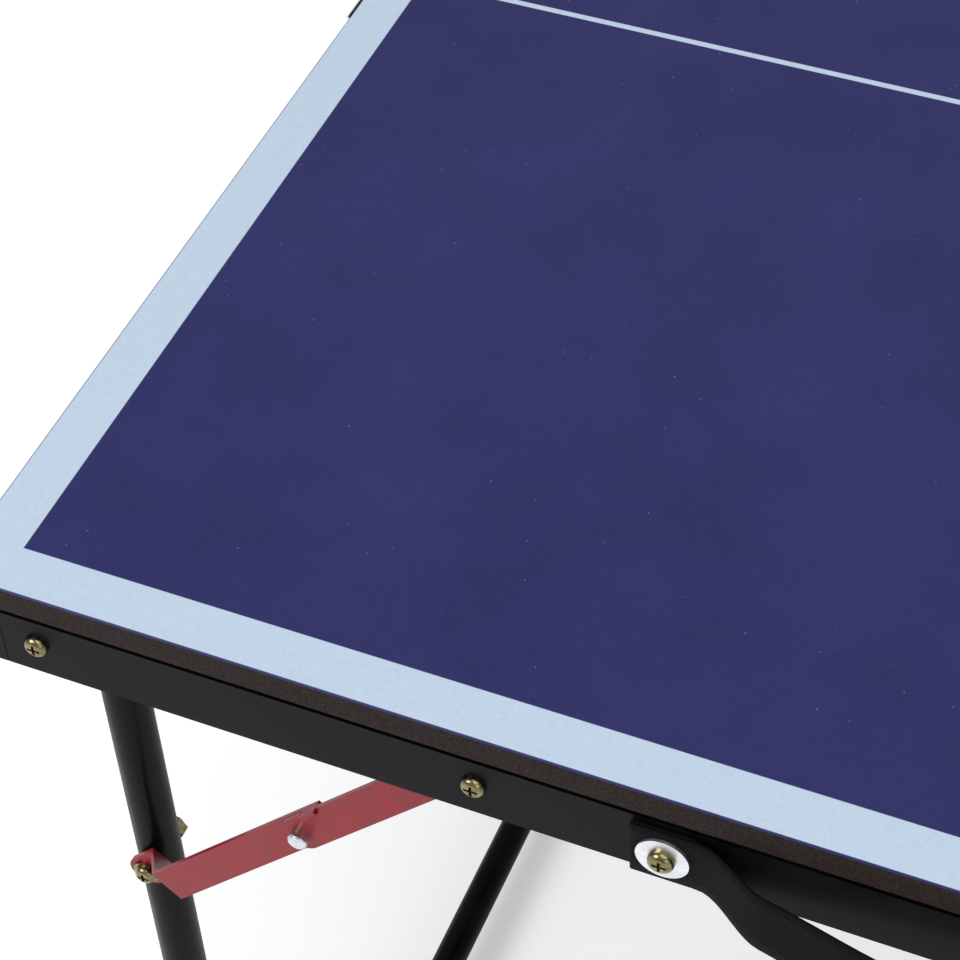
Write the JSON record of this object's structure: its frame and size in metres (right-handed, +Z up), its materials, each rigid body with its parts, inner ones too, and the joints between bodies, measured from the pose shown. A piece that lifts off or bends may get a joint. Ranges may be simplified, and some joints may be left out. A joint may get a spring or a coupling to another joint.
{
  "type": "folding ping pong table",
  "caption": "Small ping pong table that folds in half like a suitcase, with folding leg frames, locking stays, a carrying handle, a draw latch and a net.",
  "frame": {"origin": "on the floor below the middle of the playing surface", "axes": "+X along the table away from the latch end, +Y from the handle side to the far side, +Z up"},
  "size_m": [1.5464, 0.8124, 0.82],
  "materials": {
    "painted_board": "satin navy paint, white lines",
    "black_steel": "semi-gloss black enamel",
    "black_plastic": "moulded black",
    "foot_rubber": "matt",
    "yellow_zinc": "yellow zinc plating",
    "zinc_steel": "clear zinc plating",
    "bright_steel": "bright zinc",
    "nickel_steel": "nickel plating",
    "red_steel": "red enamel",
    "black_webbing": "ribbed webbing",
    "net_mesh": "knotted mesh, white tape"
  },
  "bodies": {
    "left_half": {"left_board": "painted_board", "left_near_rail": "black_steel", "left_far_rail": "black_steel", "left_end_rail": "black_steel", "left_cross_rail": "black_steel", "left_board_screws": "yellow_zinc", "left_leg_pivot_bolts": "yellow_zinc", "left_sleeves": "black_plastic", "left_leg_pivot_nuts": "yellow_zinc", "left_stay_rail_pins": "yellow_zinc", "left_link_pins": "yellow_zinc", "handle_strap": "black_webbing", "handle_washers": "zinc_steel", "handle_screws": "yellow_zinc", "handle_nuts": "yellow_zinc", "latch_base": "nickel_steel", "latch_rivets": "nickel_steel", "latch_pin": "nickel_steel", "net_brackets": "black_steel", "net_posts": "black_plastic", "net": "net_mesh"},
    "centre_links": {"centre_links": "zinc_steel"},
    "right_half": {"right_board": "painted_board", "right_near_rail": "black_steel", "right_far_rail": "black_steel", "right_end_rail": "black_steel", "right_cross_rail": "black_steel", "right_board_screws": "yellow_zinc", "right_leg_pivot_bolts": "yellow_zinc", "right_sleeves": "black_plastic", "right_leg_pivot_nuts": "yellow_zinc", "right_stay_rail_pins": "yellow_zinc", "right_link_pins": "yellow_zinc", "latch_strike": "nickel_steel"},
    "left_legs": {"left_leg_frame": "black_steel", "left_leg_plugs": "black_plastic", "left_feet": "foot_rubber", "left_stay_leg_bolts": "yellow_zinc", "left_stay_leg_nuts": "yellow_zinc"},
    "right_legs": {"right_leg_frame": "black_steel", "right_leg_plugs": "black_plastic", "right_feet": "foot_rubber", "right_stay_leg_bolts": "yellow_zinc", "right_stay_leg_nuts": "yellow_zinc"},
    "left_near_stay_lower": {"left_near_stay_lower": "red_steel"},
    "left_near_stay_upper": {"left_near_stay_upper": "red_steel", "left_near_stay_rivet": "bright_steel"},
    "left_far_stay_lower": {"left_far_stay_lower": "red_steel"},
    "left_far_stay_upper": {"left_far_stay_upper": "red_steel", "left_far_stay_rivet": "bright_steel"},
    "right_near_stay_lower": {"right_near_stay_lower": "red_steel"},
    "right_near_stay_upper": {"right_near_stay_upper": "red_steel", "right_near_stay_rivet": "bright_steel"},
    "right_far_stay_lower": {"right_far_stay_lower": "red_steel"},
    "right_far_stay_upper": {"right_far_stay_upper": "red_steel", "right_far_stay_rivet": "bright_steel"},
    "latch_lever": {"latch_lever": "nickel_steel"},
    "latch_bail": {"latch_bail": "nickel_steel"},
    "net_thumb_screw_near": {"net_thumb_screw_near": "black_plastic"},
    "net_thumb_screw_far": {"net_thumb_screw_far": "black_plastic"}
  },
  "joints": [
    {"name": "centre_fold_left", "type": "hinge", "parent": "left_half", "child": "centre_links", "pos_m": [-0.016, 0, 0.6715], "axis": [0, 1, 0], "range_deg": [0, 90]},
    {"name": "centre_fold_right", "type": "hinge", "parent": "centre_links", "child": "right_half", "pos_m": [0.016, 0, 0.6715], "axis": [0, 1, 0], "range_deg": [0, 90]},
    {"name": "left_leg_fold", "type": "hinge", "parent": "left_half", "child": "left_legs", "pos_m": [-0.73, 0, 0.672], "axis": [0, -1, 0], "range_deg": [0, 90]},
    {"name": "left_near_stay_lower_turn", "type": "hinge", "parent": "left_legs", "child": "left_near_stay_lower", "pos_m": [-0.73, 0, 0.483], "axis": [0, -1, 0], "range_deg": [0, 42.48]},
    {"name": "left_near_stay_upper_turn", "type": "hinge", "parent": "left_half", "child": "left_near_stay_upper", "pos_m": [-0.557, 0, 0.672], "axis": [0, -1, 0], "range_deg": [-47.54, 0]},
    {"name": "left_far_stay_lower_turn", "type": "hinge", "parent": "left_legs", "child": "left_far_stay_lower", "pos_m": [-0.73, 0, 0.483], "axis": [0, -1, 0], "range_deg": [0, 42.48]},
    {"name": "left_far_stay_upper_turn", "type": "hinge", "parent": "left_half", "child": "left_far_stay_upper", "pos_m": [-0.557, 0, 0.672], "axis": [0, -1, 0], "range_deg": [-47.54, 0]},
    {"name": "right_leg_fold", "type": "hinge", "parent": "right_half", "child": "right_legs", "pos_m": [0.73, 0, 0.672], "axis": [0, 1, 0], "range_deg": [0, 90]},
    {"name": "right_near_stay_lower_turn", "type": "hinge", "parent": "right_legs", "child": "right_near_stay_lower", "pos_m": [0.73, 0, 0.483], "axis": [0, 1, 0], "range_deg": [0, 42.48]},
    {"name": "right_near_stay_upper_turn", "type": "hinge", "parent": "right_half", "child": "right_near_stay_upper", "pos_m": [0.557, 0, 0.672], "axis": [0, 1, 0], "range_deg": [-47.54, 0]},
    {"name": "right_far_stay_lower_turn", "type": "hinge", "parent": "right_legs", "child": "right_far_stay_lower", "pos_m": [0.73, 0, 0.483], "axis": [0, 1, 0], "range_deg": [0, 42.48]},
    {"name": "right_far_stay_upper_turn", "type": "hinge", "parent": "right_half", "child": "right_far_stay_upper", "pos_m": [0.557, 0, 0.672], "axis": [0, 1, 0], "range_deg": [-47.54, 0]},
    {"name": "latch_lever_turn", "type": "hinge", "parent": "left_half", "child": "latch_lever", "pos_m": [-0.7652, 0, 0.66435], "axis": [0, -1, 0], "range_deg": [0, 90]},
    {"name": "latch_bail_swing", "type": "hinge", "parent": "latch_lever", "child": "latch_bail", "pos_m": [-0.7684, 0, 0.67335], "axis": [0, -1, 0], "range_deg": [-90, 0]},
    {"name": "net_thumb_screw_near_spin", "type": "hinge", "parent": "left_half", "child": "net_thumb_screw_near", "pos_m": [-0.044, -0.39, 0.67025], "axis": [0, -1, 0], "continuous": true},
    {"name": "net_thumb_screw_far_spin", "type": "hinge", "parent": "left_half", "child": "net_thumb_screw_far", "pos_m": [-0.044, 0.39, 0.67025], "axis": [0, 1, 0], "continuous": true}
  ],
  "couplings": [
    {"joint": "left_near_stay_lower_turn", "follows": "left_leg_fold", "ratio": 0.47188},
    {"joint": "left_near_stay_upper_turn", "follows": "left_leg_fold", "ratio": -0.52812},
    {"joint": "left_far_stay_lower_turn", "follows": "left_leg_fold", "ratio": 0.47188},
    {"joint": "left_far_stay_upper_turn", "follows": "left_leg_fold", "ratio": -0.52812},
    {"joint": "right_near_stay_lower_turn", "follows": "right_leg_fold", "ratio": 0.47188},
    {"joint": "right_near_stay_upper_turn", "follows": "right_leg_fold", "ratio": -0.52812},
    {"joint": "right_far_stay_lower_turn", "follows": "right_leg_fold", "ratio": 0.47188},
    {"joint": "right_far_stay_upper_turn", "follows": "right_leg_fold", "ratio": -0.52812},
    {"joint": "latch_bail_swing", "follows": "latch_lever_turn", "ratio": -1}
  ]
}
